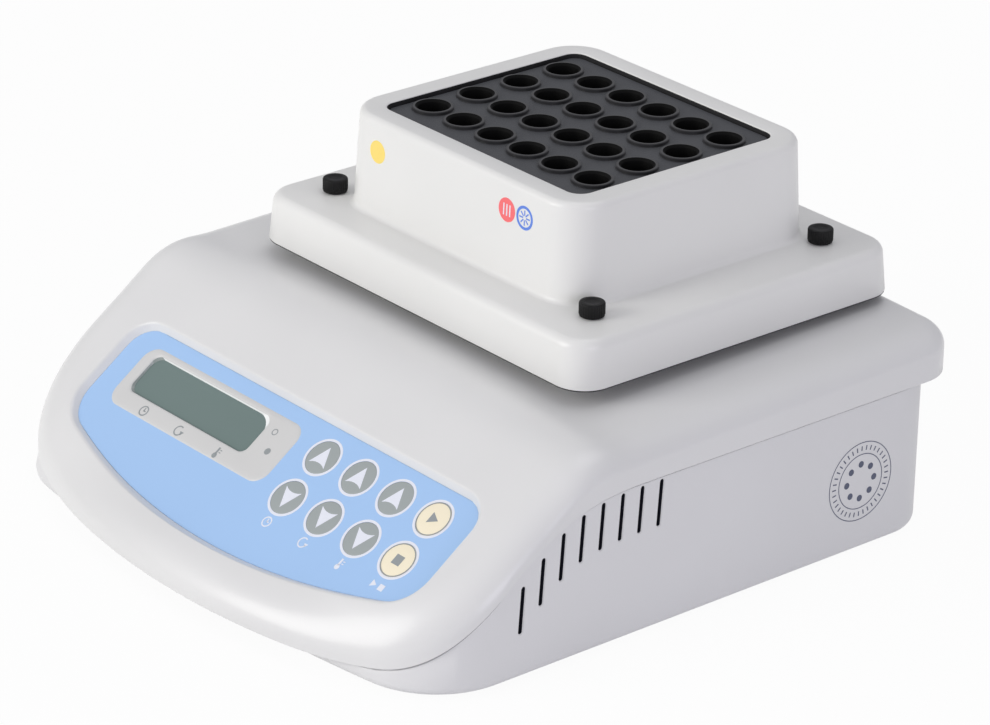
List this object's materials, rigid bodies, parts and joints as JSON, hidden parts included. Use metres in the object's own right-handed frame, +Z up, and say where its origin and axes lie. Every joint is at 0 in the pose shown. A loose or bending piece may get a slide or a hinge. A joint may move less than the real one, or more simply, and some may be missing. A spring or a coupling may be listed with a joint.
{
  "type": "thermal mixer",
  "caption": "Bench thermal mixer: a heated and cooled block of microtube wells in a cover on an orbiting platform, over a drive housing with a sloping control panel.",
  "frame": {"origin": "centre of the bounding box's underside, where the feet stand", "axes": "+X to the instrument's right as its user sees it, +Y towards the rear, +Z up"},
  "size_m": [0.239, 0.253, 0.1304],
  "materials": {
    "housing": "satin moulded plastic",
    "base_plastic": "satin moulded plastic",
    "rubber": "matt",
    "steel": "bright",
    "overlay_blue": "satin film",
    "frame_grey": "satin film",
    "window": "clear",
    "lcd": "gloss",
    "board": "satin",
    "black_plastic": "satin",
    "aluminium": "machined",
    "black_aluminium": "anodised",
    "motor_can": "satin",
    "bronze": "sintered",
    "pulley": "satin",
    "ceramic": "matt ceramic",
    "foam": "closed cell foam",
    "block_cover": "satin painted",
    "key_grey": "satin film",
    "key_cream": "satin film",
    "belt": "matt"
  },
  "bodies": {
    "base": {"base_housing": "base_plastic", "top_cover": "housing", "rubber_feet": "rubber", "cover_screws": "steel", "keypad_overlay": "overlay_blue", "display_frame": "frame_grey", "display_window": "window", "display_module": "lcd", "control_board": "board", "key_switches": "black_plastic", "main_board": "board", "power_inlet": "black_plastic", "power_switch_body": "black_plastic", "fan_frame": "black_plastic", "chassis_plate": "steel", "chassis_screws": "steel", "bearing_housing": "aluminium", "shaft_bearings": "steel", "motor_body": "motor_can", "drive_belt": "belt", "idler_pillars": "aluminium"},
    "drive": {"drive_shaft": "steel", "shaft_pulley": "pulley", "balancer_ring": "aluminium", "balancer_balls": "steel", "balancer_lid": "aluminium"},
    "platform": {"eccentric_bearing": "steel", "crank_bushes": "bronze", "carrier_plate": "aluminium", "platform_posts": "aluminium", "platform_plate": "aluminium", "platform_screws": "steel", "heatsink": "black_aluminium", "thermoelectric_modules": "ceramic", "heat_plate": "aluminium", "heat_insulation": "foam"},
    "crank_1": {"idler_crank_1": "steel"},
    "crank_2": {"idler_crank_2": "steel"},
    "crank_3": {"idler_crank_3": "steel"},
    "motor_rotor": {"motor_shaft": "steel", "motor_pulley": "pulley"},
    "fan_wheel": {"fan_rotor": "black_plastic"},
    "rocker": {"power_rocker": "black_plastic"},
    "block": {"tube_block": "black_aluminium", "block_cover": "block_cover", "block_insulation": "foam"},
    "screw_1": {"thumbscrew_1": "black_plastic"},
    "screw_2": {"thumbscrew_2": "black_plastic"},
    "screw_3": {"thumbscrew_3": "black_plastic"},
    "screw_4": {"thumbscrew_4": "black_plastic"},
    "button_1": {"key_1": "key_grey"},
    "button_2": {"key_2": "key_grey"},
    "button_3": {"key_3": "key_grey"},
    "button_4": {"key_4": "key_cream"},
    "button_5": {"key_5": "key_grey"},
    "button_6": {"key_6": "key_grey"},
    "button_7": {"key_7": "key_grey"},
    "button_8": {"key_8": "key_cream"}
  },
  "joints": [
    {"name": "drive_spin", "type": "hinge", "parent": "base", "child": "drive", "pos_m": [0, 0.0515, 0.02], "axis": [0, 0, 1], "continuous": true},
    {"name": "platform_orbit", "type": "hinge", "parent": "drive", "child": "platform", "pos_m": [0.001, 0.0515, 0.04], "axis": [0, 0, 1], "continuous": true},
    {"name": "crank_spin_1", "type": "hinge", "parent": "base", "child": "crank_1", "pos_m": [-0.06, 0.0135, 0.015], "axis": [0, 0, 1], "continuous": true},
    {"name": "crank_spin_2", "type": "hinge", "parent": "base", "child": "crank_2", "pos_m": [0.06, 0.0135, 0.015], "axis": [0, 0, 1], "continuous": true},
    {"name": "crank_spin_3", "type": "hinge", "parent": "base", "child": "crank_3", "pos_m": [0.06, 0.0895, 0.015], "axis": [0, 0, 1], "continuous": true},
    {"name": "motor_spin", "type": "hinge", "parent": "base", "child": "motor_rotor", "pos_m": [0, -0.026, 0.02], "axis": [0, 0, 1], "continuous": true},
    {"name": "fan_spin", "type": "hinge", "parent": "base", "child": "fan_wheel", "pos_m": [0.04, 0.1125, 0.02925], "axis": [0, 1, 0], "continuous": true},
    {"name": "block_lift", "type": "slide", "parent": "platform", "child": "block", "axis": [0, 0, 1], "range_m": [0, 0.06]},
    {"name": "screw_turn_1", "type": "hinge", "parent": "block", "child": "screw_1", "pos_m": [-0.0682, -0.0008, 0.09], "axis": [0, 0, 1], "continuous": true},
    {"name": "screw_turn_2", "type": "hinge", "parent": "block", "child": "screw_2", "pos_m": [0.0702, -0.0008, 0.09], "axis": [0, 0, 1], "continuous": true},
    {"name": "screw_turn_3", "type": "hinge", "parent": "block", "child": "screw_3", "pos_m": [0.0702, 0.1038, 0.09], "axis": [0, 0, 1], "continuous": true},
    {"name": "screw_turn_4", "type": "hinge", "parent": "block", "child": "screw_4", "pos_m": [-0.0682, 0.1038, 0.09], "axis": [0, 0, 1], "continuous": true},
    {"name": "key_press_1", "type": "slide", "parent": "base", "child": "button_1", "axis": [0, 0.5807, -0.8141], "range_m": [0, 0.0003], "stiffness_N_per_m": 300, "springref_m": -0.0006},
    {"name": "key_press_2", "type": "slide", "parent": "base", "child": "button_2", "axis": [0, 0.5807, -0.8141], "range_m": [0, 0.0003], "stiffness_N_per_m": 300, "springref_m": -0.0006},
    {"name": "key_press_3", "type": "slide", "parent": "base", "child": "button_3", "axis": [0, 0.5807, -0.8141], "range_m": [0, 0.0003], "stiffness_N_per_m": 300, "springref_m": -0.0006},
    {"name": "key_press_4", "type": "slide", "parent": "base", "child": "button_4", "axis": [0, 0.5807, -0.8141], "range_m": [0, 0.0003], "stiffness_N_per_m": 300, "springref_m": -0.0006},
    {"name": "key_press_5", "type": "slide", "parent": "base", "child": "button_5", "axis": [0, 0.5807, -0.8141], "range_m": [0, 0.0003], "stiffness_N_per_m": 300, "springref_m": -0.0006},
    {"name": "key_press_6", "type": "slide", "parent": "base", "child": "button_6", "axis": [0, 0.5807, -0.8141], "range_m": [0, 0.0003], "stiffness_N_per_m": 300, "springref_m": -0.0006},
    {"name": "key_press_7", "type": "slide", "parent": "base", "child": "button_7", "axis": [0, 0.5807, -0.8141], "range_m": [0, 0.0003], "stiffness_N_per_m": 300, "springref_m": -0.0006},
    {"name": "key_press_8", "type": "slide", "parent": "base", "child": "button_8", "axis": [0, 0.5807, -0.8141], "range_m": [0, 0.0003], "stiffness_N_per_m": 300, "springref_m": -0.0006},
    {"name": "switch_rock", "type": "hinge", "parent": "base", "child": "rocker", "pos_m": [-0.078, 0.118, 0.02925], "axis": [1, 0, 0], "range_deg": [-16, 0]}
  ],
  "couplings": [
    {"joint": "platform_orbit", "follows": "drive_spin", "ratio": -1},
    {"joint": "crank_spin_1", "follows": "drive_spin", "ratio": 1},
    {"joint": "crank_spin_2", "follows": "drive_spin", "ratio": 1},
    {"joint": "crank_spin_3", "follows": "drive_spin", "ratio": 1},
    {"joint": "motor_spin", "follows": "drive_spin", "ratio": 2}
  ]
}
